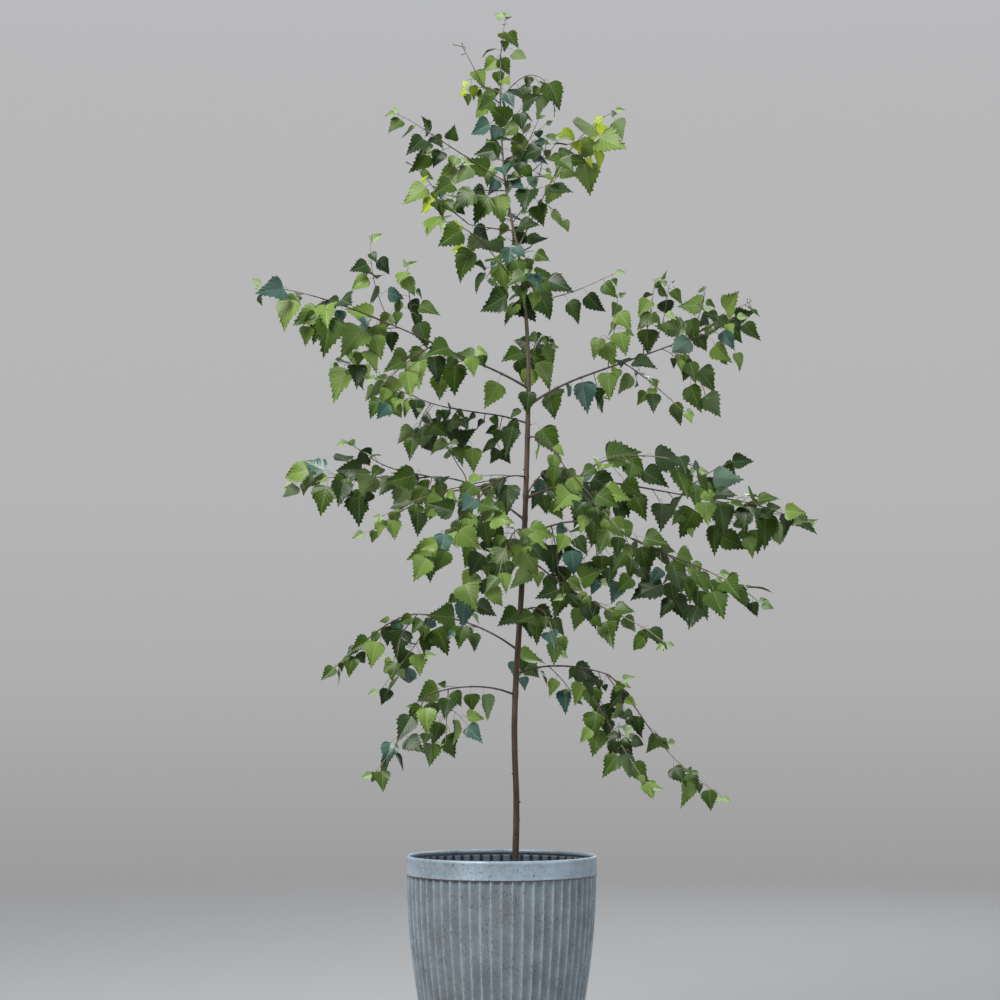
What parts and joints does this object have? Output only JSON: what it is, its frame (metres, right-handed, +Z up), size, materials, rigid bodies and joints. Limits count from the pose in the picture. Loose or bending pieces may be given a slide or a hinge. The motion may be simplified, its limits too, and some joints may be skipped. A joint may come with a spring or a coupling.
{
  "type": "young silver birch tree in a zinc tub",
  "caption": "Slender young weeping birch with a leaning trunk, arching boughs and open hanging foliage, standing in a round fluted metal tub.",
  "frame": {"origin": "centre of the tub's flat underside, on the ground", "axes": "+Z up along the tub and trunk, +X to the tree's right as seen from its front, +Y towards its back"},
  "size_m": [1.3544, 0.8314, 2.4878],
  "materials": {
    "zinc": "weathered zinc, blue-grey and mottled",
    "soil": "moist dark potting compost",
    "bark": "smooth young reddish-brown bark with pale streaks",
    "twig": "smooth dark purplish-brown bark",
    "leaf": "thin glossy toothed leaves, paler underneath"
  },
  "bodies": {
    "root": {"bough_back_2": "twig", "bough_left_1": "twig", "bough_left_2": "twig", "bough_left_3": "twig", "bough_left_4": "twig", "bough_left_5": "twig", "bough_left_6": "twig", "bough_left_7": "twig", "bough_left_8": "twig", "bough_left_9": "twig", "bough_right_1": "twig", "bough_right_3": "twig", "bough_right_4": "twig", "bough_right_5": "twig", "bough_right_6": "twig", "bough_right_7": "twig", "foliage_back_1": "leaf", "foliage_back_2": "leaf", "foliage_back_3": "leaf", "foliage_front_1": "leaf", "foliage_front_high": "leaf", "foliage_left_1": "leaf", "foliage_left_1_hang": "leaf", "foliage_left_2": "leaf", "foliage_left_2_hang": "leaf", "foliage_left_3": "leaf", "foliage_left_3_out": "leaf", "foliage_left_4": "leaf", "foliage_left_4_rise": "leaf", "foliage_left_5": "leaf", "foliage_left_6": "leaf", "foliage_left_6_hang": "leaf", "foliage_left_6_rise": "leaf", "foliage_left_6_rise_2": "leaf", "foliage_left_7": "leaf", "foliage_left_8": "leaf", "foliage_left_9": "leaf", "foliage_right_1": "leaf", "foliage_right_1_hang": "leaf", "foliage_right_2": "leaf", "foliage_right_3": "leaf", "foliage_right_4": "leaf", "foliage_right_4_arch": "leaf", "foliage_right_4_rise": "leaf", "foliage_right_5": "leaf", "foliage_right_6": "leaf", "foliage_right_6_hang": "leaf", "foliage_right_6_rise": "leaf", "foliage_right_6_rise_2": "leaf", "foliage_right_7": "leaf", "foliage_right_high": "leaf", "foliage_right_low": "leaf", "foliage_top": "leaf", "foliage_top_arm": "leaf", "foliage_top_left": "leaf", "foliage_top_right": "leaf", "potting_soil": "soil", "trunk": "bark", "tub_body": "zinc", "tub_rim": "zinc"}
  },
  "joints": []
}
